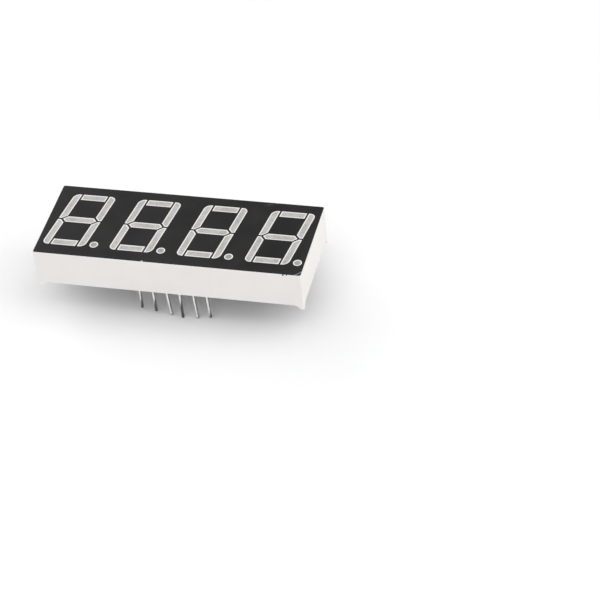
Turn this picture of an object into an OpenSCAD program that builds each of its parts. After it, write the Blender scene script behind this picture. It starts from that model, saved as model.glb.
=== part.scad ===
// Four digit seven segment LED display module.
// A white moulded reflector housing, open at the back, carries a black ink face.
// Tapered light wells run from the face to a circuit board and are filled with
// milky resin. The board is staked on two posts and potted in smoky resin, and
// twelve round pins stand out of the back in two rows.
//
// Frame: +Z out of the face, +Y up the digits, +X along the row of digits.
// The origin is centred under the body, in the plane of the pin tips.

/* [Body] */
// Play between two modules that are butted end to end
stack_gap = 0.5; // [0.2:0.05:0.6]
// Width of the body across the digits
body_w = 19; // [18.6:0.1:24]
// Depth of the body from the face to its corner feet
body_h = 8.2; // [7.6:0.1:10]
// Thickness of the outer walls
wall = 0.9; // [0.6:0.05:0.95]
// How much each side draws in from the face to the feet
draft = 0.12; // [0.05:0.01:0.25]
// Radius of the upright corners
corner_r = 0.3; // [0.15:0.05:0.6]

/* [Corner feet] */
// Height of the feet over the rim of the long walls
foot_side_h = 0.8; // [0.5:0.05:1]
// Height of the feet over the rim of the end walls
foot_end_h = 1; // [0.6:0.05:1.05]
// Flat length of a foot along the long wall
foot_side_flat = 0.9; // [0.5:0.05:2]
// Flat length of a foot along the end wall
foot_end_flat = 0.6; // [0.4:0.05:2]
// Radius of the flare from a foot into the rim
foot_flare_r = 1.25; // [1.1:0.05:2]

/* [Digits] */
// Distance between two digits
digit_pitch = 12.7; // [12.6:0.1:16]
// Height of a digit
digit_h = 14.2; // [12.6:0.1:14.4]
// Width of a digit before it is slanted
digit_w = 8.2; // [7.8:0.1:8.4]
// Slant of the digits in degrees
slant = 8; // [0:0.5:9]
// How far the digits sit above the middle of the face
digit_lift = 0.15; // [0:0.05:0.25]
// Width of the upright segments
upright_w = 1.4; // [1.2:0.05:1.6]
// Height of the level segments
level_h = 1.5; // [1.2:0.05:1.6]
// Black line between two segments
segment_gap = 0.35; // [0.25:0.05:0.5]
// Half length of the middle segment, from its tip to its centre
middle_reach = 3.2; // [3:0.05:3.3]
// Radius of the outer corners of a digit
digit_corner_r = 1.1; // [0.5:0.05:1.15]
// Diameter of a decimal point
point_d = 1.6; // [1.4:0.05:1.7]
// Decimal point's distance right of the digit's centre
point_right = 4.7; // [4.6:0.05:4.75]
// Share of its front size that a segment's well keeps at the board
well_taper = 0.45; // [0.45:0.01:0.6]
// Diameter of a decimal point's well at the board
point_rear_d = 1; // [0.95:0.05:1.2]

/* [Face] */
// Thickness of the black ink on the face
ink_t = 0.1; // [0.05:0.01:0.2]
// Margin between the ink and the body's sides, which the edge rounds over
ink_margin = 0.12; // [0.05:0.01:0.3]

/* [Pins] */
// Distance between two pins of a row
pin_pitch = 2.54; // [2.2:0.01:2.8]
// Distance between the two rows
row_spacing = 15.24; // [15.1:0.01:15.4]
// Diameter of a pin's tinned free end
pin_d = 0.5; // [0.4:0.05:0.6]
// Thickness of the dipped tin on a pin's free end
tin_t = 0.02; // [0.01:0.01:0.04]
// Bare length of a pin between its tin and the plane of the feet
tin_stop = 0.2; // [0.1:0.05:1]
// Length of a pin below the feet
pin_free = 6.5; // [3:0.1:12]
// Height of the cut chamfer at a pin's tip
pin_tip_h = 0.12; // [0.05:0.01:0.2]
// How far a pin stands through the board, towards the face
pin_through = 0.55; // [0.45:0.05:0.7]

/* [Board] */
// Thickness of the circuit board
board_t = 1.2; // [1:0.1:1.6]
// Gap between the board's edge and the walls
board_gap = 0.2; // [0.1:0.05:0.25]
// Thickness of the copper, flush in the board's faces
copper_t = 0.05; // [0.03:0.01:0.1]
// Width of a copper track
track_w = 0.55; // [0.3:0.05:0.7]
// Radius of the copper land around a pin
land_r = 0.75; // [0.7:0.05:0.85]
// Gap of solder between a pin and its hole
solder_gap = 0.15; // [0.1:0.05:0.2]
// Height of a solder fillet over the board
fillet_h = 0.6; // [0.3:0.05:0.7]
// Side of a light emitting die
die_w = 0.28; // [0.2:0.02:0.34]
// Height of a light emitting die
die_h = 0.2; // [0.1:0.02:0.3]
// Thickness of a bond wire
wire_t = 0.04; // [0.03:0.01:0.06]
// Height of a bond wire's arch over the die
wire_rise = 0.25; // [0.15:0.05:0.4]

/* [Back] */
// Distance from the feet down to the potting resin's surface
resin_drop = 1.1; // [1.05:0.05:1.3]
// Thickness of the resin over the board
resin_cover = 1; // [0.8:0.05:1.2]
// Height that the resin creeps up each pin
creep_h = 0.25; // [0.1:0.05:0.35]
// Width that the resin creeps out from each pin
creep_w = 0.3; // [0.15:0.05:0.4]
// Distance between the two staking posts
post_spacing = 31.4; // [30.4:0.1:32.4]
// Diameter of a staking post
post_d = 1.6; // [1.2:0.1:1.8]
// Gap between a post and its hole in the board
post_gap = 0.15; // [0.1:0.05:0.25]
// How far a post's head stands over the board
post_stand = 0.55; // [0.3:0.05:0.7]

/* [Hidden] */
DIGITS = 4;
PINS_PER_ROW = 6;
CUT = 0.5;  // how far a cutting tool runs past the face that it cuts
ARC_STEPS = 6;
EDGE_STEPS = 3;
PIN_FN = 24;
$fn = 48;

BARS = ["a", "b", "c", "d", "e", "f", "g"];

body_l = DIGITS * digit_pitch - stack_gap;

// Levels, from the pin tips up to the face
z_feet = pin_free;
z_resin = z_feet + resin_drop;
z_board_rear = z_resin + resin_cover;
z_board_front = z_board_rear + board_t;
z_face = z_feet + body_h;
z_plastic = z_face - ink_t;
well_depth = z_face - z_board_front;

inner_l = body_l - 2 * wall;
inner_w = body_w - 2 * wall;
board_l = inner_l - 2 * board_gap;
board_w = inner_w - 2 * board_gap;

// A pin's bare core, under the tin and on up through the resin and the board
core_r = pin_d / 2 - tin_t;
hole_r = pin_d / 2 + solder_gap;
// The housing is hollowed over each pin's end
pocket_gap = 0.2;
pocket_r = hole_r + pocket_gap;
pocket_depth = pin_through + pocket_gap;

// Half sizes inside a digit, before it is slanted
digit_half_w = digit_w / 2;
digit_half_h = digit_h / 2;
bar_inner_x = digit_half_w - upright_w;
// Where the uprights' bevelled ends cross the digit's level middle line
bevel_reach = middle_reach + segment_gap * sqrt(2);
// The decimal point stands on the digit's base line
point_y = point_d / 2 - digit_half_h;

// The die and its bond pad lie on either side of a well's centre
bar_die_offset = 0.4;
point_die_offset = 0.24;
die_pad_w = die_w + 0.12;
bond_pad_w = 0.3;

// Staking posts
post_x = post_spacing / 2;
post_r = post_d / 2;
post_hole_r = post_r + post_gap;
post_chamfer = 0.2;
post_land_w = 0.4;

// The moulding's gate mark, on the rim of one end wall
gate_y = 0.8;
gate_w = 1.2;
gate_h = 0.12;

// The copper's plan is drawn with the posts, the board's ends and the pin rows at these
// distances from the board's middle, and it stretches with them.
PLAN_POST = 15.7;
PLAN_END = 24.05;
PLAN_ROW = 7.62;

// Round lands of the rear copper: x, y, radius
SOLID_LANDS = [
    [-22.4, 0.2, 1.2], [-14.8, 6.7, 1.1], [-16.5, -6.3, 0.95], [-12.2, -6.5, 1],
    [-2.1, 0, 1.1], [9.1, 0, 0.9], [12.3, 2.7, 0.85], [19.5, 3.1, 1.1],
    [19.6, -4.8, 1.15], [21.7, 1.1, 1], [21.7, -1.3, 0.8], [13.8, -6.4, 0.9],
    [-21.7, -7, 0.8], [-0.9, 6.1, 1.1]
];
RING_LANDS = [
    [-19.2, 2.6, 0.95], [-6.2, 3, 0.95], [-12.3, 1.6, 1.1], [0.6, 1.7, 1.05],
    [-12.3, -2, 1], [0.6, -2.1, 0.95], [12.6, -2.1, 1], [-18.9, -4.5, 0.95]
];
RING_W = 0.35;

// Tracks of the rear copper, each a run of points on the plan
TRACKS = [
    [[-18.7, 3.3], [-18.2, 3.8], [3.6, 3.8], [4.7, 2.7], [12.3, 2.7]],
    [[-14.8, 6.7], [-13.1, 5], [-3.3, 5], [-2.2, 6.1], [-0.9, 6.1]],
    [[-13.1, 2.1], [-16.9, 2.1], [-18.8, 0.2], [-22.4, 0.2]],
    [[-11.4, 1.6], [-9, 1.6], [-8.4, 1], [-4.5, 1], [-3.5, 2], [-0.2, 2]],
    [[1.5, 1.4], [13.9, 1.4], [15.7, 0]],
    [[-15.7, 0], [12.7, 0], [14.6, -1.9], [16.8, -1.9], [18.9, 0.2], [20, 1.1],
     [21.7, 1.1]],
    [[-13.2, -2.5], [-20.7, -2.5], [-22.7, -4.5], [-22.7, -6], [-21.7, -7]],
    [[-11.4, -2], [-10.2, -2], [-9.6, -1.4], [-4.5, -1.4], [-3.8, -2.1], [-0.1, -2.1]],
    [[1.4, -2.1], [11.8, -2.1]],
    [[-16.5, -6.3], [-14.9, -6.3], [-14, -5.4], [-13.2, -5.4], [-12.2, -6.5]],
    [[19.5, 3.1], [16.2, 3.1]]
];

// Tracks that end at a pin: the pin's number and the points before it
PIN_TRACKS = [
    [1, [[-18.1, -4.2], [-12.9, -4.2], [-12.1, -5], [-9, -5]]],
    [5, [[21.7, -1.3], [19.9, -1.3], [17.4, -3.8], [4.51, -3.8], [3.81, -4.5]]],
    [6, [[19.6, -4.8], [11.3, -4.8], [10.3, -5.8], [10.3, -6.6], [9.35, -7.62]]],
    [7, [[15.7, 0], [16.2, 1], [16.2, 6.5], [15.1, 7.6]]],
    [8, [[14.5, 1.4], [14.5, 5.8], [13.9, 6.4], [5.2, 6.4]]],
    [9, [[-0.9, 6.1]]]
];

// ---- Places ----

function digit_x(n) = (n - 1 - (DIGITS - 1) / 2) * digit_pitch;
function slanted(p) = [p[0] + p[1] * tan(slant), p[1]];
function on_face(n, p) = slanted(p) + [digit_x(n), digit_lift];

// Pins count from 1 to 6 under the digits' feet and back from 7 to 12 over their tops.
function pin_place(n) = n <= PINS_PER_ROW
    ? [(n - (PINS_PER_ROW + 1) / 2) * pin_pitch, -row_spacing / 2]
    : [(1.5 * PINS_PER_ROW + 0.5 - n) * pin_pitch, row_spacing / 2];

// A place on the copper's plan, moved with the posts, the board's ends and the pin rows
function plan_x(x) = abs(x) < PLAN_POST
    ? x * post_x / PLAN_POST
    : sign(x) * (post_x + (abs(x) - PLAN_POST) * (board_l / 2 - post_x) / (PLAN_END - PLAN_POST));
function on_board(p) = [plan_x(p[0]), p[1] * row_spacing / 2 / PLAN_ROW];

// ---- Outlines ----

function arc(centre, r, from, to) = [
    for (k = [0:ARC_STEPS]) let (t = from + (to - from) * k / ARC_STEPS)
        centre + r * [cos(t), sin(t)]
];

// The body's plan, drawn in by an inset on each side
function inset_share(inset) = [1 - 2 * inset / body_l, 1 - 2 * inset / body_w];
function body_outline(inset) = let (
        x = body_l / 2 - corner_r,
        y = body_w / 2 - corner_r,
        share = inset_share(inset)
    ) [for (p = concat(
        arc([x, y], corner_r, 0, 90),
        arc([-x, y], corner_r, 90, 180),
        arc([-x, -y], corner_r, 180, 270),
        arc([x, -y], corner_r, 270, 360)
    )) [p[0] * share[0], p[1] * share[1]]];

// The upper right upright: a rounded outer corner above, a 45 degree bevel below.
UPRIGHT = concat(
    [
        [digit_half_w, segment_gap / 2],
        [bevel_reach - segment_gap / 2, segment_gap / 2],
        [bar_inner_x, bevel_reach - bar_inner_x],
        [bar_inner_x, digit_half_h]
    ],
    [for (k = [0:ARC_STEPS]) let (t = 90 - 90 * k / ARC_STEPS)
        [digit_half_w, digit_half_h] + digit_corner_r * [cos(t) - 1, sin(t) - 1]]
);

level_half_l = bar_inner_x - segment_gap;
LEVEL = [
    [-level_half_l, digit_half_h - level_h], [level_half_l, digit_half_h - level_h],
    [level_half_l, digit_half_h], [-level_half_l, digit_half_h]
];

MIDDLE = [
    [middle_reach, 0], [middle_reach - level_h / 2, level_h / 2],
    [level_h / 2 - middle_reach, level_h / 2], [-middle_reach, 0],
    [level_h / 2 - middle_reach, -level_h / 2], [middle_reach - level_h / 2, -level_h / 2]
];

// Which way a segment's shape is mirrored from the one that is drawn
function side(s) = s == "e" || s == "f" ? -1 : 1;
function upper(s) = s == "c" || s == "d" || s == "e" ? -1 : 1;
function is_level(s) = s == "a" || s == "d";

function bar_outline(s) = s == "g" ? MIDDLE
    : [for (p = is_level(s) ? LEVEL : UPRIGHT) [p[0] * side(s), p[1] * upper(s)]];

function bar_centre(s) = s == "g" ? [0, 0]
    : is_level(s) ? [0, upper(s) * (digit_half_h - level_h / 2)]
    : [side(s) * (digit_half_w - upright_w / 2),
       upper(s) * (digit_half_h + segment_gap / 2) / 2];

// A decimal point isn't slanted, so its place undoes the slant of the digit.
POINT_CENTRE = [point_right - point_y * tan(slant), point_y];

// A track's outline: each point moved aside along the mitre of its two neighbours.
function unit(v) = v / norm(v);
function mitre(p, i) = let (
        before = unit(p[i] - p[max(i - 1, 0)] + (i == 0 ? p[1] - p[0] : [0, 0])),
        last = len(p) - 1,
        after = unit(p[min(i + 1, last)] - p[i] + (i == last ? p[i] - p[i - 1] : [0, 0])),
        bisector = unit(before + after)
    ) [-bisector[1], bisector[0]] / (bisector * before);
function strip(p, w) = concat(
    [for (i = [0:len(p) - 1]) p[i] + mitre(p, i) * w / 2],
    [for (i = [len(p) - 1:-1:0]) p[i] - mitre(p, i) * w / 2]
);

// ---- Light wells ----

// Share of its front size that a tapered well has at a height
function well_share(z, at_board) = 1 - (1 - at_board) * (z_face - z) / well_depth;

// The space of one segment's well, from one height to another
module bar_well(n, s, from, to) {
    centre = bar_centre(s);
    low = well_share(from, well_taper);
    high = well_share(to, well_taper);
    translate([on_face(n, centre)[0], on_face(n, centre)[1], from])
        linear_extrude(height = to - from, scale = high / low)
            polygon([for (p = bar_outline(s)) slanted(p - centre) * low]);
}

module point_well(n, from, to) {
    share = point_rear_d / point_d;
    place = on_face(n, POINT_CENTRE);
    translate([place[0], place[1], from])
        cylinder(h = to - from, d1 = point_d * well_share(from, share),
                 d2 = point_d * well_share(to, share));
}

module all_wells(from, to)
    for (n = [1:DIGITS]) {
        for (s = BARS) bar_well(n, s, from, to);
        point_well(n, from, to);
    }

// ---- Dice, wires and their pads ----

// Puts its child at a segment's well on the board, with its X along the segment
module at_bar(n, s) {
    place = on_face(n, bar_centre(s));
    translate([place[0], place[1], z_board_front])
        rotate(is_level(s) || s == "g" ? 0 : 90 - slant) children();
}

module at_point(n) {
    place = on_face(n, POINT_CENTRE);
    translate([place[0], place[1], z_board_front]) rotate(90) children();
}

module die(offset)
    translate([-offset - die_w / 2, -die_w / 2, 0]) cube([die_w, die_w, die_h]);

// A wire leaves the top of the die, arches over and lands on the bond pad.
module bond_wire(offset) {
    top = die_h + wire_rise;
    foot = wire_t / 2;
    rotate([90, 0, 0]) linear_extrude(height = wire_t, center = true) polygon([
        [-offset - foot, die_h], [-offset - foot, top - 0.08], [-offset + 0.06, top],
        [offset - 0.1, top], [offset + foot, top - 0.16], [offset + foot, 0],
        [offset - foot, 0], [offset - foot, top - 0.18], [offset - 0.12, top - wire_t],
        [-offset + 0.08, top - wire_t], [-offset + foot, top - 0.1], [-offset + foot, die_h]
    ]);
}

module pads(offset)
    translate([0, 0, -copper_t]) {
        translate([-offset - die_pad_w / 2, -die_pad_w / 2, 0])
            cube([die_pad_w, die_pad_w, copper_t]);
        translate([offset - bond_pad_w / 2, -bond_pad_w / 2, 0])
            cube([bond_pad_w, bond_pad_w, copper_t]);
    }

module led_dice(n) color("gold") {
    for (s = BARS) at_bar(n, s) die(bar_die_offset);
    at_point(n) die(point_die_offset);
}

module bond_wires(n) color("silver") {
    for (s = BARS) at_bar(n, s) bond_wire(bar_die_offset);
    at_point(n) bond_wire(point_die_offset);
}

module die_pads() color("gold")
    for (n = [1:DIGITS]) {
        for (s = BARS) at_bar(n, s) pads(bar_die_offset);
        at_point(n) pads(point_die_offset);
    }

// ---- Segments ----

// The resin stays out of the hollows over the pins' ends.
module segment(n, s) color("silver") difference() {
    bar_well(n, s, z_board_front, z_face);
    pin_pockets();
    at_bar(n, s) {
        die(bar_die_offset);
        bond_wire(bar_die_offset);
    }
}

module decimal_point(n) color("silver") difference() {
    point_well(n, z_board_front, z_face);
    pin_pockets();
    at_point(n) {
        die(point_die_offset);
        bond_wire(point_die_offset);
    }
}

// ---- Housing ----

// The body's outside: drafted sides, then a quarter round into the face. It is drawn
// as rings of one outline, each at its own height and inset.
module body_envelope() {
    levels = concat(
        [[z_feet, draft]],
        [for (k = [0:EDGE_STEPS]) let (t = 90 * k / EDGE_STEPS)
            [z_plastic - ink_margin * (1 - sin(t)), ink_margin * (1 - cos(t))]]
    );
    sides = len(body_outline(0));
    top = (len(levels) - 1) * sides;
    polyhedron(
        points = [for (v = levels) for (p = body_outline(v[1])) [p[0], p[1], v[0]]],
        faces = concat(
            [[for (i = [0:sides - 1]) i]],
            [for (ring = [0:sides:top - sides]) for (i = [0:sides - 1])
                let (a = ring + i, b = ring + (i + 1) % sides)
                    each [[a, a + sides, b + sides], [a, b + sides, b]]],
            [[for (i = [sides - 1:-1:0]) top + i]]
        )
    );
}

module cavity(from, to)
    translate([-inner_l / 2, -inner_w / 2, from]) cube([inner_l, inner_w, to - from]);

// What is cut from a wall between two feet: flat along the rim, flared at both ends.
// It lies along X, with the feet's plane at z = 0.
module rim_cut(length, foot_flat, foot_h, depth) {
    flare = sqrt(foot_flare_r * foot_flare_r - pow(foot_flare_r - foot_h, 2));
    centre_x = length / 2 - foot_flat - flare;
    centre_z = foot_h - foot_flare_r;
    rotate([90, 0, 0]) linear_extrude(height = depth, center = true) {
        for (x = [-centre_x, centre_x]) translate([x, centre_z]) circle(r = foot_flare_r);
        translate([-centre_x, centre_z - foot_flare_r])
            square([2 * centre_x, 2 * foot_flare_r]);
    }
}

// The board is staked on two round posts with chamfered heads.
module posts() {
    shaft_h = post_stand + board_t - post_chamfer;
    at_posts(z_board_front - shaft_h) {
        cylinder(h = shaft_h, r = post_r);
        translate([0, 0, -post_chamfer])
            cylinder(h = post_chamfer, r1 = post_r - post_chamfer, r2 = post_r);
    }
}

module housing() color("white") {
    difference() {
        body_envelope();
        cavity(z_feet - CUT, z_board_front);
        all_wells(z_board_front - CUT / 5, z_plastic + CUT / 5);
        for (side_y = [-1, 1])
            translate([0, side_y * (body_w - wall) / 2, z_feet])
                rim_cut(body_l, foot_side_flat, foot_side_h, wall + 2 * draft);
        for (side_x = [-1, 1])
            translate([side_x * (body_l - wall) / 2, 0, z_feet])
                rotate(90) rim_cut(body_w, foot_end_flat, foot_end_h, wall + 2 * draft);
        pin_pockets();
    }
    posts();
    translate([(wall - body_l) / 2, gate_y, z_feet + foot_end_h])
        cube([wall / 2, gate_w, 2 * gate_h], center = true);
}

module face_ink() color([0.13, 0.13, 0.14]) difference() {
    translate([0, 0, z_plastic])
        linear_extrude(height = ink_t) polygon(body_outline(ink_margin));
    all_wells(z_plastic - CUT / 5, z_face + CUT / 5);
}

// ---- Board ----

module at_pins(z)
    for (n = [1:2 * PINS_PER_ROW]) translate([pin_place(n)[0], pin_place(n)[1], z]) children();

module at_posts(z)
    for (x = [-post_x, post_x]) translate([x, 0, z]) children();

module pin_pockets()
    at_pins(z_board_front - CUT) cylinder(h = CUT + pocket_depth, r = pocket_r, $fn = PIN_FN);

module board_plan() square([board_l, board_w], center = true);

module track(points) polygon(strip(points, track_w));

// The rear copper's outline before the board is drilled
module copper_plan() intersection() {
    board_plan();
    difference() {
        union() {
            for (t = TRACKS) track([for (p = t) on_board(p)]);
            for (t = PIN_TRACKS)
                track(concat([for (p = t[1]) on_board(p)], [pin_place(t[0])]));
            for (p = concat(SOLID_LANDS, RING_LANDS)) translate(on_board(p)) circle(r = p[2]);
            at_posts(0) circle(r = post_hole_r + post_land_w);
            at_pins(0) circle(r = land_r);
        }
        for (p = RING_LANDS) translate(on_board(p)) circle(r = p[2] - RING_W);
    }
}

module post_holes()
    at_posts(z_board_rear - CUT) cylinder(h = board_t + 2 * CUT, r = post_hole_r);

module pin_holes()
    at_pins(z_board_rear - CUT) cylinder(h = board_t + 2 * CUT, r = hole_r, $fn = PIN_FN);

module rear_copper() color("darkgoldenrod") difference() {
    translate([0, 0, z_board_rear]) linear_extrude(height = copper_t) copper_plan();
    post_holes();
    pin_holes();
}

module board_blank() difference() {
    translate([0, 0, z_board_rear]) linear_extrude(height = board_t) board_plan();
    post_holes();
}

module circuit_board() color([0.1, 0.1, 0.11]) difference() {
    board_blank();
    pin_holes();
    translate([0, 0, z_board_rear]) linear_extrude(height = copper_t) copper_plan();
    die_pads();
}

// ---- Pins and solder ----

module pin(n) color("lightgray") translate([pin_place(n)[0], pin_place(n)[1], 0]) {
    cylinder(h = pin_tip_h, r1 = pin_d / 2 - pin_tip_h, r2 = pin_d / 2, $fn = PIN_FN);
    translate([0, 0, pin_tip_h])
        cylinder(h = z_feet - tin_stop - pin_tip_h, d = pin_d, $fn = PIN_FN);
    translate([0, 0, z_feet - tin_stop])
        cylinder(h = z_board_front + pin_through - z_feet + tin_stop, r = core_r, $fn = PIN_FN);
}

// Solder fills the hole around each pin and stands up it on both sides of the board.
module solder_joints() color("gainsboro") {
    rear_top = z_board_rear - fillet_h;
    front_top = z_board_front + pin_through - 0.2;
    at_pins(0) rotate_extrude($fn = PIN_FN) polygon([
        [core_r, rear_top], [core_r + 0.06, rear_top],
        [core_r + 0.16, z_board_rear - fillet_h / 2], [land_r - 0.1, z_board_rear],
        [hole_r, z_board_rear], [hole_r, z_board_front],
        [hole_r + 0.1, z_board_front], [core_r + 0.08, front_top], [core_r, front_top]
    ]);
}

// ---- Potting ----

// The resin fills the back around the board and creeps a little way up each pin.
module potting_resin() color([0.45, 0.45, 0.46]) difference() {
    rooted = resin_cover / 4;
    root_r = core_r + 0.04;
    union() {
        cavity(z_resin, z_board_front);
        intersection() {
            cavity(z_resin - creep_h, z_board_front);
            at_pins(z_resin - creep_h)
                cylinder(h = creep_h + rooted, r1 = root_r,
                         r2 = root_r + creep_w * (1 + rooted / creep_h), $fn = PIN_FN);
        }
    }
    board_blank();
    posts();
    solder_joints();
    at_pins(z_resin - CUT) cylinder(h = z_board_front, r = core_r, $fn = PIN_FN);
}

// ---- Assembly ----

housing();
face_ink();
for (n = [1:DIGITS]) {
    for (s = BARS)
        segment(n, s);
    decimal_point(n);
    led_dice(n);
    bond_wires(n);
}
circuit_board();
rear_copper();
die_pads();
solder_joints();
potting_resin();
for (n = [1:2 * PINS_PER_ROW])
    pin(n);
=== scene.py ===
"""Four digit LED display module: finishes, fine pieces, studio and camera.

Everything is in metres in the part's own frame: +Z out of the face, +Y up the
digits, +X along them, with the pin tips on the plane z = 0.
"""

import math

import bpy
import numpy as np
from mathutils import Matrix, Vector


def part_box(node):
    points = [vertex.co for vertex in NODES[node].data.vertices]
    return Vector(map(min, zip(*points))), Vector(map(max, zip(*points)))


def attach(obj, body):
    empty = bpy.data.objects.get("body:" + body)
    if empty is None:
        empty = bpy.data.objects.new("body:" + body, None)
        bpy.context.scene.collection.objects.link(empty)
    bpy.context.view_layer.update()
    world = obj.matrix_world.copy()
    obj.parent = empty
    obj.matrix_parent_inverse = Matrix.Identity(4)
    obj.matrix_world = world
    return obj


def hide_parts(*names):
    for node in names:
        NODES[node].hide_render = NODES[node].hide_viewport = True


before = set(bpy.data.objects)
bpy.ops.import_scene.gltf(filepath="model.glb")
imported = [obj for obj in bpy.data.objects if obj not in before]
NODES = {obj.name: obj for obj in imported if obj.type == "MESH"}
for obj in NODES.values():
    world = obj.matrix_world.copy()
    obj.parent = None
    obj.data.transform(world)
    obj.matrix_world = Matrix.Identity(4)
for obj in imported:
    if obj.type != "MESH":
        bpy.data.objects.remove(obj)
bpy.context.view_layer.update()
MM = 0.001

# ---- Places and sizes ----

BODY_LOW, BODY_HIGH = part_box("housing")
HALF_L, HALF_W = BODY_HIGH[0], BODY_HIGH[1]
FACE_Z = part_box("face_ink")[1][2]
BOARD_REAR, BOARD_FRONT = [corner[2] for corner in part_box("circuit_board")]
POUR_HALF_L, POUR_HALF_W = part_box("potting_resin")[1][:2]
POUR_ABOVE_FEET = 1.1 * MM
POUR_Z = BODY_LOW[2] + POUR_ABOVE_FEET

DIGITS = (1, 2, 3, 4)
BARS = "abcdefg"
# The two staking posts stand on the X axis, as far out to each side
POST_X = 15.7 * MM
POST_HEAD_R = 0.86 * MM
# Broad round lands of the rear copper: x, y and radius in mm
BROAD_LANDS = (
    (-22.4, 0.2, 1.2), (-14.8, 6.7, 1.1), (-12.2, -6.5, 1.0), (-2.1, 0.0, 1.1),
    (9.1, 0.0, 0.9), (19.5, 3.1, 1.1), (19.6, -4.8, 1.15), (21.7, 1.1, 1.0),
    (-0.9, 6.1, 1.1),
)


# ---- Shader sockets and finishes ----

class Value:
    """A node's output in a finish. Arithmetic on it adds Math nodes."""

    def __init__(self, finish, output):
        self.finish = finish
        self.output = output

    def math(self, operation, *values):
        return self.finish.node("ShaderNodeMath", {"operation": operation}, *values)

    def __add__(self, other):
        return self.math("ADD", self, other)

    def __radd__(self, other):
        return self.math("ADD", other, self)

    def __sub__(self, other):
        return self.math("SUBTRACT", self, other)

    def __rsub__(self, other):
        return self.math("SUBTRACT", other, self)

    def __mul__(self, other):
        return self.math("MULTIPLY", self, other)

    def __rmul__(self, other):
        return self.math("MULTIPLY", other, self)

    def __truediv__(self, other):
        return self.math("DIVIDE", self, other)

    def __rtruediv__(self, other):
        return self.math("DIVIDE", other, self)

    def __neg__(self):
        return 0 - self

    def __abs__(self):
        return self.math("ABSOLUTE", self)

    def smaller(self, other):
        return self.math("MINIMUM", self, other)

    def larger(self, other):
        return self.math("MAXIMUM", self, other)

    def step(self, low, high):
        """0 below low, 1 above high, and a smooth rise between them."""
        return self.finish.node(
            "ShaderNodeMapRange", {"interpolation_type": "SMOOTHSTEP"},
            self, low, high, 0.0, 1.0)


class Finish:
    """A procedural material around one Principled shader."""

    def __init__(self, name, **constants):
        self.material = bpy.data.materials.new(name)
        self.material.use_nodes = True
        self.tree = self.material.node_tree
        self.tree.nodes.clear()
        self.shader = self.tree.nodes.new("ShaderNodeBsdfPrincipled")
        out = self.tree.nodes.new("ShaderNodeOutputMaterial")
        self.tree.links.new(self.shader.outputs[0], out.inputs[0])
        for key, value in constants.items():
            self.feed(key.replace("_", " "), value)
        coordinates = self.tree.nodes.new("ShaderNodeTexCoord")
        self.place = Value(self, coordinates.outputs["Object"])

    def node(self, kind, settings=None, *values, out=0, named=None):
        """Adds a node and sets its settings, then links or sets its sockets: values in
        order, and named ones by name or number. Gives back the output called out."""
        made = self.tree.nodes.new(kind)
        for key, value in (settings or {}).items():
            setattr(made, key, value)
        for key, value in [*enumerate(values), *(named or {}).items()]:
            self.plug(made.inputs[key], value)
        return Value(self, made.outputs[out])

    def plug(self, socket, value):
        if isinstance(value, Value):
            self.tree.links.new(value.output, socket)
        else:
            socket.default_value = (*value, 1) if socket.type == "RGBA" else value

    def feed(self, name, value):
        self.plug(self.shader.inputs[name], value)

    def vector(self, operation, *values, out=0):
        return self.node("ShaderNodeVectorMath", {"operation": operation}, *values, out=out)

    def mix(self, factor, a, b):
        """Colour a where factor is 0, colour b where it is 1."""
        return self.node("ShaderNodeMix", {"data_type": "RGBA"}, out=2,
                         named={0: factor, 6: a, 7: b})

    def axis(self, index):
        """The place along X, Y or Z, by number."""
        return self.node("ShaderNodeSeparateXYZ", None, self.place, out=index)

    def given(self, name):
        """The piece's own attribute of that name."""
        return self.node("ShaderNodeAttribute", {"attribute_name": name}, out=2)

    def cloud(self, per_metre, detail=3, roughness=0.55, stretch=None):
        """Noise from 0 to 1 with so many features a metre. It runs out longer along an
        axis whose part of stretch is under 1."""
        place = self.place
        if stretch:
            place = self.node("ShaderNodeMapping", None, place, named={"Scale": stretch})
        return self.node("ShaderNodeTexNoise", None, named={
            "Vector": place, "Scale": per_metre, "Detail": detail, "Roughness": roughness})

    def spot(self, centre, radii, blur):
        """1 inside an ellipsoid at centre, falling smoothly to 0 around it."""
        offset = self.vector("SUBTRACT", self.place, centre)
        scaled = self.vector("DIVIDE", offset, radii)
        length = self.vector("LENGTH", scaled, out=1)
        return 1 - length.step(1 - blur, 1 + blur)

    def bump(self, height, distance, strength, over=None):
        """Fine relief, on the surface as it is or over another normal."""
        sockets = {"Strength": strength, "Distance": distance, "Height": height}
        if over is not None:
            sockets["Normal"] = over
        self.feed("Normal", self.node("ShaderNodeBump", None, named=sockets))


# ---- Finishes ----

def white_plastic():
    """Matte white moulding: faint mottling, fine mould texture, softened edges, and
    two specks of stray ink under the face's front edge."""
    f = Finish("white_plastic", IOR=1.46)
    mottle = f.cloud(260, 4)
    fine = f.cloud(5200, 2)
    white = f.mix(mottle, (0.80, 0.772, 0.752), (0.862, 0.835, 0.818))
    speck = f.spot((21.85 * MM, -HALF_W, 14.5 * MM), (0.16 * MM, 0.3 * MM, 0.15 * MM), 0.3)
    dash = f.spot((22.5 * MM, -HALF_W, 14.55 * MM), (0.13 * MM, 0.3 * MM, 0.07 * MM), 0.3)
    f.feed("Base Color", f.mix(speck.larger(dash), white, (0.02, 0.02, 0.021)))
    f.feed("Roughness", 0.36 + mottle * 0.14)
    rounded = f.node("ShaderNodeBevel", {"samples": 4}, 0.07 * MM)
    f.bump(fine, 0.02 * MM, 0.25, over=rounded)
    return f


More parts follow.
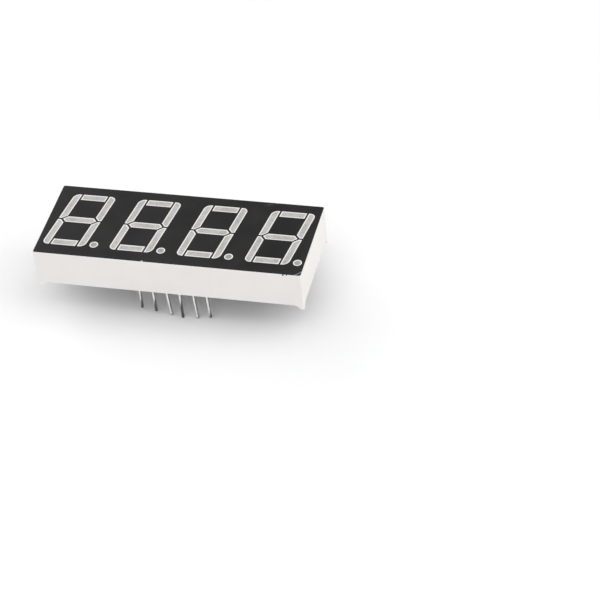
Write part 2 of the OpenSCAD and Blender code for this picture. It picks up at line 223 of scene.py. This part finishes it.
def black_ink():
    """Satin black screen ink: cloudy, paler towards the rim, with a nick of white in the
    front edge, a worn arc in one corner and a faint smudge."""
    f = Finish("black_ink", Specular_IOR_Level=0.12)
    cloud = f.cloud(140, 4)
    grain = f.cloud(3800, 2)
    x, y = f.axis(0), f.axis(1)
    rim = (abs(x) / HALF_L).step(0.93, 1.0).larger((abs(y) / HALF_W).step(0.86, 1.0))
    pale = cloud.step(0.25, 0.75) * 0.55 + rim * 0.12
    black = f.mix(pale, (0.0105, 0.0102, 0.0104), (0.028, 0.027, 0.0268))
    smudge = f.spot((14.8 * MM, 8.75 * MM, FACE_Z), (0.7 * MM, 0.35 * MM, 1 * MM), 0.95)
    smudge = smudge * f.cloud(1500, 3).step(0.35, 0.65)
    smudged = f.mix(smudge * 0.3, black, (0.16, 0.155, 0.15))
    # The arc lies 2.35 mm from a centre, and only the part nearest the corner is worn
    away = f.vector("DISTANCE", f.place, (22.9 * MM, -7.3 * MM, FACE_Z), out=1)
    arc = 1 - (abs(away - 2.35 * MM) / (0.12 * MM)).step(0.3, 1.0)
    arc = arc * (x / MM).step(23.4, 24.0) * (-y / MM).step(8.0, 8.6)
    worn = f.mix(arc * 0.75, smudged, (0.36, 0.355, 0.345))
    nick = f.spot((-4.3 * MM, -HALF_W + 0.12 * MM, FACE_Z),
                  (0.14 * MM, 0.16 * MM, 1 * MM), 0.3)
    f.feed("Base Color", f.mix(nick, worn, (0.8, 0.79, 0.78)))
    f.feed("Roughness", 0.34 + cloud * 0.16)
    f.bump(grain, 0.008 * MM, 0.3)
    return f


def milky_resin():
    """Milky grey diffusing resin: near white against the well's wall, a painted glow of the
    white light well shining through, and cloudy grey further in. A point is a shade greyer,
    painted shade."""
    f = Finish("milky_resin", IOR=1.5)
    cloud = f.cloud(420, 4, 0.6)
    wobble = f.cloud(2600, 2)
    # Painted glow of the white wall: near white up to 0.1 to 0.3 mm from the well's outline
    past_rim_glow = (f.given("rim") + (wobble - 0.5) * 0.09).step(0.10, 0.30)
    grain = cloud.step(0.3, 0.7) * 0.6 + wobble.step(0.4, 0.6) * 0.4
    in_bar = f.mix(grain, (0.33, 0.322, 0.308), (0.52, 0.508, 0.487))
    # Painted shade: a point's resin is greyer than a bar's
    in_point_painted_shade = f.mix(grain, (0.24, 0.235, 0.228), (0.38, 0.372, 0.36))
    grey = f.mix(f.given("point"), in_bar, in_point_painted_shade)
    f.feed("Base Color", f.mix(past_rim_glow, (0.80, 0.79, 0.765), grey))
    f.feed("Roughness", 0.3 + cloud * 0.15)
    f.bump(wobble, 0.01 * MM, 0.25)
    return f


def smoky_resin():
    """Smoky clear potting resin: glossy, paler and more opaque towards the white walls, a
    painted glow of the walls through the resin, and thin enough over the two post heads to
    leave them bright."""
    f = Finish("smoky_resin", IOR=1.5)
    cloud = f.cloud(170, 3)
    swirl = f.cloud(420, 2)
    roll = f.cloud(110, 0)
    x, y = abs(f.axis(0)), abs(f.axis(1))
    wall = ((HALF_L - x) / MM).smaller((HALF_W - y) / MM)
    # Painted glow of the white walls through the resin: paler and more opaque within a few mm
    # of a wall
    painted_wall_glow = 1 - (wall + (swirl - 0.5) * 1.2).step(0.8, 3.4)
    right, left = [f.spot((side * POST_X, 0, POUR_Z), (POST_HEAD_R, POST_HEAD_R, 2 * MM), 0.12)
                   for side in (1, -1)]
    f.feed("Base Color", f.mix(painted_wall_glow * 0.85, (0.080, 0.078, 0.080), (0.37, 0.37, 0.372)))
    # Opacity: random clouding plus the painted wall glow
    murk_and_wall_glow = 0.20 + cloud * 0.24 + painted_wall_glow * 0.34
    f.feed("Alpha", murk_and_wall_glow.smaller(0.9) * (1 - right.larger(left) * 0.85))
    f.feed("Roughness", 0.05 + swirl * 0.06)
    f.bump(roll, 0.08 * MM, 0.4)
    return f


def masked_copper():
    """Copper under dark solder mask: soft grey tracks, rosier over the broad lands."""
    f = Finish("masked_copper", IOR=1.5)
    cloud = f.cloud(320, 3)
    lands = [f.spot((x * MM, y * MM, BOARD_REAR), (radius * MM, radius * MM, 1 * MM), 0.15)
             for x, y, radius in BROAD_LANDS]
    rosy = lands[0]
    for land in lands[1:]:
        rosy = rosy.larger(land)
    grey = f.mix(cloud, (0.25, 0.245, 0.25), (0.36, 0.35, 0.35))
    f.feed("Base Color", f.mix(rosy, grey, (0.40, 0.31, 0.29)))
    f.feed("Roughness", 0.36 + cloud * 0.2)
    f.bump(f.cloud(2400, 2), 0.01 * MM, 0.3)
    return f


def tinned_wire():
    """Bright tin on round wire, painted dark down one side as painted shade. Below a height
    of each pin's own the painted shade widens right round the wire. Fine streaks run along
    it, and the last half millimetre to the tip is darker and rougher."""
    f = Finish("tinned_wire", Metallic=1)
    above_tip = f.given("above_tip")
    streak = f.cloud(3000, 3, 0.6, stretch=(1, 1, 0.05))
    patch = f.cloud(520, 3, stretch=(1, 1, 0.6))
    # Painted shade: dark down one side of each pin, and right round it below the pin's own
    # height, broken up by the streaks
    edge = f.given("side") + (streak - 0.5) * 1.4 + (patch - 0.5) * 0.9
    low = (edge + (f.given("tarnish") - above_tip) * 0.8).step(-0.2, 1.3)
    painted_shade_stripe = edge.step(0.3, 0.75)
    # Darker and rougher over the last half millimetre to the tip
    tip = 1 - above_tip.step(0.05, 0.45)
    painted_shade_and_dark_tip = (low * 0.95).larger(painted_shade_stripe * 0.8).larger(tip * 0.8)
    dark = f.mix(streak.step(0.3, 0.7), (0.045, 0.044, 0.043), (0.13, 0.127, 0.124))
    f.feed("Base Color", f.mix(painted_shade_and_dark_tip, (0.96, 0.95, 0.93), dark))
    f.feed("Roughness", 0.10 + patch * 0.14 + tip * 0.2)
    f.bump(streak, 0.008 * MM, 0.4)
    return f


def plain_finish(name, low, high, per_metre, rough, metal=0):
    """A finish that wanders between two colours, and in roughness from rough to 0.18
    more, with a relief six times finer than its colour."""
    f = Finish(name, Metallic=metal)
    cloud = f.cloud(per_metre)
    f.feed("Base Color", f.mix(cloud, low, high))
    f.feed("Roughness", rough + cloud * 0.18)
    f.bump(f.cloud(per_metre * 6, 2), 0.01 * MM, 0.4)
    return f


MILKY = milky_resin()
SMOKY = smoky_resin()
TINNED = tinned_wire()
DIE = plain_finish("led_die", (0.30, 0.22, 0.12), (0.46, 0.35, 0.20), 5000, 0.3)
BOND = plain_finish("bond_wire", (0.80, 0.78, 0.74), (0.90, 0.88, 0.84), 4000, 0.2, metal=1)

CAD_FINISHES = {
    "housing": white_plastic(),
    "face_ink": black_ink(),
    "circuit_board": plain_finish(
        "black_board", (0.010, 0.010, 0.011), (0.030, 0.028, 0.027), 700, 0.5),
    "rear_copper": masked_copper(),
    "solder_joints": plain_finish(
        "solder", (0.60, 0.60, 0.59), (0.78, 0.78, 0.77), 900, 0.24, metal=1),
    "die_pads": plain_finish(
        "gold_pad", (0.78, 0.56, 0.24), (0.90, 0.70, 0.36), 1500, 0.25, metal=1),
}
CAD_FINISHES.update({f"digit_{n}_led_dice": DIE for n in DIGITS})
CAD_FINISHES.update({f"digit_{n}_bond_wires": BOND for n in DIGITS})
for node, finish in CAD_FINISHES.items():
    NODES[node].data.materials.clear()
    NODES[node].data.materials.append(finish.material)


# ---- Meshes ----

SAME_LEVEL = 0.001 * MM
# Corners are rounded to this many decimals of a metre, so that each is there once
PLACE_DECIMALS = 7
# In how many directions an outline's corners are looked for
OUTLINE_DIRECTIONS = 1440


def finish_piece(name, points, faces, finish, slot, node, **attributes):
    """Makes a smooth mesh piece that stands for a CAD node and rides with the body.
    An attribute has a value for each point, or one for them all."""
    mesh = bpy.data.meshes.new(name)
    mesh.from_pydata(points.tolist(), [], faces)
    for key, values in attributes.items():
        layer = mesh.attributes.new(key, "FLOAT", "POINT")
        layer.data.foreach_set("value", np.full(len(points), values, np.float32))
    mesh.polygons.foreach_set("use_smooth", np.full(len(faces), True))
    mesh.materials.append(finish.material)
    piece = bpy.data.objects.new(name, mesh)
    bpy.context.scene.collection.objects.link(piece)
    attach(piece, "root")
    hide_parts(node)


def ring_faces(rings, count):
    """Faces of a stack of rings, each counter-clockwise from above and lower or wider
    than the one before: one quad between neighbours, and a cap at each end."""
    j, i = np.meshgrid(np.arange(rings - 1), np.arange(count), indexing="ij")
    k = (i + 1) % count
    quads = np.stack([j * count + i, (j + 1) * count + i,
                      (j + 1) * count + k, j * count + k], -1).reshape(-1, 4)
    first = np.arange(count)
    last = (rings - 1) * count + first[::-1]
    return [*quads.tolist(), first.tolist(), last.tolist()]


def cad_outline(node, level):
    """The corners of a CAD node's convex outline on one level: the points that lie
    furthest out as a direction turns once round, so counter-clockwise, starting from
    the one with the least x."""
    mesh = NODES[node].data
    points = np.empty(len(mesh.vertices) * 3, np.float32)
    mesh.vertices.foreach_get("co", points)
    points = points.reshape(-1, 3).astype(float)
    points = points[np.abs(points[:, 2] - level) < SAME_LEVEL][:, :2]
    points = np.unique(np.round(points, PLACE_DECIMALS), axis=0)
    angle = (np.arange(OUTLINE_DIRECTIONS) + 0.5) * 2 * math.pi / OUTLINE_DIRECTIONS
    furthest = np.argmax(points @ np.stack([np.cos(angle), np.sin(angle)]), axis=0)
    corners = furthest[furthest != np.roll(furthest, 1)]
    return points[np.roll(corners, -corners.argmin())]


def even_outline(corners, count):
    """Points along a closed outline at even arc length, with each corner kept by
    moving the nearest point onto it."""
    loop = np.vstack([corners, corners[:1]])
    run = np.concatenate([[0], np.cumsum(np.linalg.norm(np.diff(loop, axis=0), axis=1))])
    at = np.linspace(0, run[-1], count, endpoint=False)
    at[np.round(run[:-1] / run[-1] * count).astype(int) % count] = run[:-1]
    at = np.sort(at)
    return np.stack([np.interp(at, run, loop[:, 0]), np.interp(at, run, loop[:, 1])], -1)


def edge_distance(points, corners):
    """How far each point is inside a convex outline: its least distance to a side."""
    after = np.roll(corners, -1, axis=0)
    along = after - corners
    along = along / np.linalg.norm(along, axis=1, keepdims=True)
    inward = np.stack([-along[:, 1], along[:, 0]], -1)
    return ((points[:, None, :] - corners[None]) * inward[None]).sum(-1).min(1)


# ---- Resin in the light wells ----

WELL_SIDES = 96
WELL_SAG = 0.045 * MM
WELL_BEND = 0.28 * MM
# Where the rings of a filling's top lie, from 1 at the spine to 0 at the outline
WELL_RINGS = np.array([0.93, 0.75, 0.58, 0.44, 0.33, 0.24, 0.16, 0.09, 0.04, 0.0])
BAR_SPINE = 0.96
POINT_SPINE = 0.0
# The rim attribute is the distance from the outline in mm, and this down at the board
RIM_AT_BOARD = 0.4


def well_filling(node, spine_share):
    """The tapered resin of one well. The well's spine runs along its middle, and its
    length is spine_share of the well's length less its width. Each ring of the top lies
    a share of the way from the outline to the nearest point of the spine, and sinks by
    sag * (1 - exp(-(d / bend)^2)), where d is the distance from the outline. From the
    outline the wall runs straight to the CAD well's outline at the board."""
    top = cad_outline(node, FACE_Z)
    foot = cad_outline(node, BOARD_FRONT)
    rim = even_outline(top, WELL_SIDES)
    middle = (top.min(0) + top.max(0)) / 2
    spread = rim - middle
    _, _, (lengthways, across) = np.linalg.svd(spread - spread.mean(0), full_matrices=False)
    length = np.ptp(spread @ lengthways)
    width = np.ptp(spread @ across)
    half_spine = max(length - width, 0) / 2 * spine_share
    along = np.clip(spread @ lengthways, -half_spine, half_spine)
    spine = middle + along[:, None] * lengthways
    flat = (rim[None] + (spine - rim)[None] * WELL_RINGS[:, None, None]).reshape(-1, 2)
    depth = edge_distance(flat, top).clip(0)
    level = FACE_Z - WELL_SAG * (1 - np.exp(-(depth / WELL_BEND) ** 2))
    size = np.ptp(foot, axis=0) / np.ptp(top, axis=0)
    base = (foot.min(0) + foot.max(0)) / 2 + spread * size
    points = np.concatenate([np.column_stack([flat, level]),
                             np.column_stack([base, np.full(WELL_SIDES, BOARD_FRONT)])])
    from_rim = np.concatenate([depth / MM, np.full(WELL_SIDES, RIM_AT_BOARD)])
    return points, ring_faces(len(WELL_RINGS) + 1, WELL_SIDES), from_rim


for n in DIGITS:
    wells = {f"digit_{n}_segment_{bar}": BAR_SPINE for bar in BARS}
    wells[f"digit_{n}_point"] = POINT_SPINE
    for node, spine_share in wells.items():
        points, faces, from_rim = well_filling(node, spine_share)
        # The rim attribute places the painted glow near the outline, and point picks a point's
        # painted shade
        finish_piece(node.replace("digit", "resin"), points, faces, MILKY,
                     "segment_resin", node, rim=from_rim, point=float("point" in node))


# ---- Pins ----

PIN_RINGS = 40
PIN_SIDES = 32
PIN_BOW = 0.18 * MM
# The side of each pin that is painted dark, as painted shade
PAINTED_SHADE_SIDE = math.radians(8)
# Heights above a cut tip in mm, and the share of the wire's radius there
TIP_HEIGHTS = (0, 0.01, 0.03, 0.06, 0.1)
TIP_SHARES = (0.55, 0.78, 0.92, 0.98, 1.0)
# Where each pin's tip has been knocked to, how far off the floor it stops, and how far up
# from its tip the pin is painted dark as painted shade, all in mm. The rear row leans less.
TIPS = {
    1: (-6.84, -6.93, 0.9, 3.0), 2: (-4.15, -7.12, 0.55, 3.5),
    3: (-1.15, -7.38, 0.28, 0.3), 4: (1.04, -7.62, 0.0, 4.6),
    5: (3.88, -7.52, 0.16, 0.2), 6: (6.26, -7.26, 0.42, 1.9),
    7: (6.44, 7.50, 0.1, 2.9), 8: (3.92, 7.56, 0.0, 1.5), 9: (1.16, 7.66, 0.2, 3.6),
    10: (-1.30, 7.50, 0.05, 1.2), 11: (-3.72, 7.58, 0.15, 3.1), 12: (-6.42, 7.64, 0.0, 2.0),
}


def pin_axis(n):
    """Where a pin stands in the solids, seen from above."""
    return [(low + high) / 2 for low, high in zip(*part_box(f"pin_{n}"))][:2]


def leaning_pin(n, tip):
    """A round wire swept down a path. The path is upright in the resin, and below it
    leans by t^1.3 of the way to the knocked tip and bows to one side by
    bow * sin(pi t) * (1 - t), with t from 0 at the resin to 1 at the tip. The radius is
    the pin's times 1 + 0.05 exp(-((h - 0.5) / 0.35)^2), a bead of tin, at h mm above the
    tip, and less on the cut itself. Side is the cosine of the angle from the side that is
    painted dark as painted shade."""
    low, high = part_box(f"pin_{n}")
    x, y = pin_axis(n)
    radius = (high[0] - low[0]) / 2
    tip_x, tip_y, tip_z = np.array(tip) * MM
    near_tip = tip_z + np.array(TIP_HEIGHTS[::-1]) * MM
    down = np.linspace(POUR_Z, near_tip[0], PIN_RINGS - len(TIP_HEIGHTS))
    z = np.concatenate([[high[2]], down, near_tip[1:]])
    fall = ((POUR_Z - z) / (POUR_Z - tip_z)).clip(0, 1)
    lean = fall ** 1.3
    bow = -PIN_BOW * np.sin(math.pi * fall) * (1 - fall)
    centre = np.stack([x + (tip_x - x) * lean + bow, y + (tip_y - y) * lean], -1)
    above_tip = (z - tip_z) / MM
    bead = 1 + 0.05 * np.exp(-((above_tip - 0.5) / 0.35) ** 2)
    r = radius * bead * np.interp(above_tip, TIP_HEIGHTS, TIP_SHARES)
    angle = np.linspace(0, 2 * math.pi, PIN_SIDES, endpoint=False)
    circle = np.stack([np.cos(angle), np.sin(angle)], -1)
    flat = centre[:, None, :] + circle[None] * r[:, None, None]
    points = np.column_stack([flat.reshape(-1, 2), np.repeat(z, PIN_SIDES)])
    side = np.tile(np.cos(angle - PAINTED_SHADE_SIDE), len(z))
    return points, ring_faces(len(z), PIN_SIDES), np.repeat(above_tip, PIN_SIDES), side


# Each pin is painted dark, as painted shade, down one side and right round it below its own
# height
for n, (*tip, tarnish) in TIPS.items():
    points, faces, above_tip, side = leaning_pin(n, tip)
    finish_piece(f"tinned_pin_{n}", points, faces, TINNED, "pin", f"pin_{n}",
                 above_tip=above_tip, side=side, tarnish=tarnish)


# ---- Potting resin ----

POUR_COLUMNS = 330
POUR_ROWS = 116
POUR_IN_BOARD = 0.03 * MM
# The least and the most that the surface may rise from the level of the pour, in mm
POUR_RISE = (-0.1, 0.245)
# Small pits that bubbles have left: their depth in mm, radius and places
PIT_DEPTH = 0.09
PIT_R = 0.13 * MM
PITS = np.array([[-1.3, 2.45], [-6.25, 1.0], [13.4, -1.7], [9.2, -3.25],
                 [8.0, -3.4], [8.35, -3.0]]) * MM


def resin_pour():
    """The poured resin's surface over the cavity. It stands off the level of the pour by
    a gentle roll, rises as 0.16 exp(-d / 0.35) against the walls and as
    0.24 exp(-(r - 0.25) / 0.22) up each pin, in mm at d from a wall and r from a pin's
    axis, and has a small pit at each bubble. The roll is 0.025 times a sum of waves and
    fades over the last 2 mm to a wall. The back was up when it was poured, so a rise is
    towards the pins' tips. A skirt runs from the rim to a flat cap in the board."""
    x, y = np.meshgrid(np.linspace(-POUR_HALF_L, POUR_HALF_L, POUR_COLUMNS),
                       np.linspace(-POUR_HALF_W, POUR_HALF_W, POUR_ROWS), indexing="ij")
    wall = np.minimum(POUR_HALF_L - np.abs(x), POUR_HALF_W - np.abs(y)) / MM
    rise = 0.16 * np.exp(-wall / 0.35)
    for pin_x, pin_y in map(pin_axis, TIPS):
        away = np.hypot(x - pin_x, y - pin_y) / MM
        rise = rise + 0.24 * np.exp(-np.maximum(away - 0.25, 0) / 0.22)
    u, v = x / MM, y / MM
    rise = rise + 0.025 * (np.sin(0.31 * u + 0.9) * np.cos(0.42 * v - 0.4)
                           + 0.5 * np.sin(0.83 * u - 0.57 * v + 1.7)) * (wall / 2).clip(0, 1)
    for pit_x, pit_y in PITS:
        rise = rise - PIT_DEPTH * np.exp(-(np.hypot(x - pit_x, y - pit_y) / PIT_R) ** 2)
    surface = np.stack([x, y, POUR_Z - rise.clip(*POUR_RISE) * MM], -1).reshape(-1, 3)

    grid = np.arange(POUR_COLUMNS * POUR_ROWS).reshape(POUR_COLUMNS, POUR_ROWS)
    quads = np.stack([grid[:-1, :-1], grid[:-1, 1:], grid[1:, 1:], grid[1:, :-1]], -1)
    rim = np.concatenate([grid[:, 0], grid[-1, 1:], grid[-2::-1, -1], grid[0, -2:0:-1]])
    cap = len(surface) + np.arange(len(rim))
    skirt = np.stack([rim, np.roll(rim, -1), np.roll(cap, -1), cap], -1)
    top = surface[rim]
    top[:, 2] = BOARD_REAR - POUR_IN_BOARD
    faces = [*quads.reshape(-1, 4).tolist(), *skirt.tolist(), cap.tolist()]
    return np.concatenate([surface, top]), faces


points, faces = resin_pour()
finish_piece("resin_pour", points, faces, SMOKY, "potting_resin", "potting_resin")


# ---- Studio ----

FLOOR_SIDE = 3.0
SOFTBOX_SIDE = 0.5
SOFTBOX_AIM = (0, 0, 0.01)
WORLD_STRENGTH = 0.5
WHITE = (1, 1, 1)
# Each softbox's place in metres, its power in watts and its colour
SOFTBOXES = {
    "upper_left": ((-0.40, 0.00, 0.55), 0.34, WHITE),
    "upper_right": ((0.40, 0.00, 0.55), 1.21, WHITE),
    "upper_front": ((0.00, -0.40, 0.55), 1.41, WHITE),
    "back_left": ((-0.45, 0.45, 0.35), 1.08, WHITE),
    "low_left": ((-0.65, 0.00, 0.30), 0.58, WHITE),
    "low_right": ((0.65, 0.00, 0.30), 0.99, (0.97, 1.0, 0.95)),
}


def studio_paper():
    """Plain pale paper with the faintest clouding."""
    f = Finish("studio_paper", Specular_IOR_Level=0.25)
    grain = f.cloud(420)
    f.feed("Base Color", f.mix(grain, (0.905, 0.905, 0.91), (0.92, 0.92, 0.925)))
    f.feed("Roughness", 0.6 + grain * 0.1)
    return f


def studio_floor():
    """A flat square on the plane z = 0, about the middle."""
    corners = np.array([(-1, -1, 0), (1, -1, 0), (1, 1, 0), (-1, 1, 0)]) * FLOOR_SIDE / 2
    mesh = bpy.data.meshes.new("studio_floor")
    mesh.from_pydata(corners.tolist(), [], [[0, 1, 2, 3]])
    mesh.materials.append(studio_paper().material)
    floor = bpy.data.objects.new("studio_floor", mesh)
    bpy.context.scene.collection.objects.link(floor)


def softbox(name, place, power, colour):
    """A square area light at place that faces the object."""
    lamp = bpy.data.lights.new(name, "AREA")
    lamp.shape = "SQUARE"
    lamp.size = SOFTBOX_SIDE
    lamp.energy = power
    lamp.color = colour
    box = bpy.data.objects.new(name, lamp)
    direction = np.array(SOFTBOX_AIM) - np.array(place)
    direction = direction / np.linalg.norm(direction)
    pitch = math.acos(-direction[2])
    turn = math.atan2(direction[1], direction[0]) - math.pi / 2
    box.rotation_euler = (pitch, 0, turn)
    box.location = place
    bpy.context.scene.collection.objects.link(box)


def studio_world():
    """Even white light from all round."""
    world = bpy.data.worlds.new("studio")
    world.use_nodes = True
    background = world.node_tree.nodes["Background"]
    background.inputs["Color"].default_value = (1, 1, 1, 1)
    background.inputs["Strength"].default_value = WORLD_STRENGTH
    bpy.context.scene.world = world


studio_floor()
for name, settings in SOFTBOXES.items():
    softbox(name, *settings)
studio_world()
bpy.context.scene.view_settings.view_transform = "Standard"


# ---- Camera ----

CAMERA_PLACE = np.array([116.53, -290.38, 277.06]) * MM
# How far the camera tips up from straight down, turns round from the front, and rolls
# about its own axis
CAMERA_PITCH = math.radians(47.784)
CAMERA_TURN = math.radians(18.148)
CAMERA_ROLL = math.radians(-7.087)
# Focal length and sensor width in mm, and the nearest and farthest view in metres
CAMERA_LENS = 134.63
CAMERA_SENSOR = 36
CAMERA_CLIP = (0.01, 10)


def studio_camera():
    """The camera looks straight down at first, rolls about its own axis, tips up by the
    pitch, turns about Z and is carried to its place."""
    lens = bpy.data.cameras.new("studio_camera")
    lens.sensor_width = CAMERA_SENSOR
    lens.lens = CAMERA_LENS
    lens.clip_start, lens.clip_end = CAMERA_CLIP
    camera = bpy.data.objects.new("studio_camera", lens)
    camera.matrix_world = (Matrix.Translation(CAMERA_PLACE)
                           @ Matrix.Rotation(CAMERA_TURN, 4, "Z")
                           @ Matrix.Rotation(CAMERA_PITCH, 4, "X")
                           @ Matrix.Rotation(CAMERA_ROLL, 4, "Z"))
    bpy.context.scene.collection.objects.link(camera)
    bpy.context.scene.camera = camera


studio_camera()
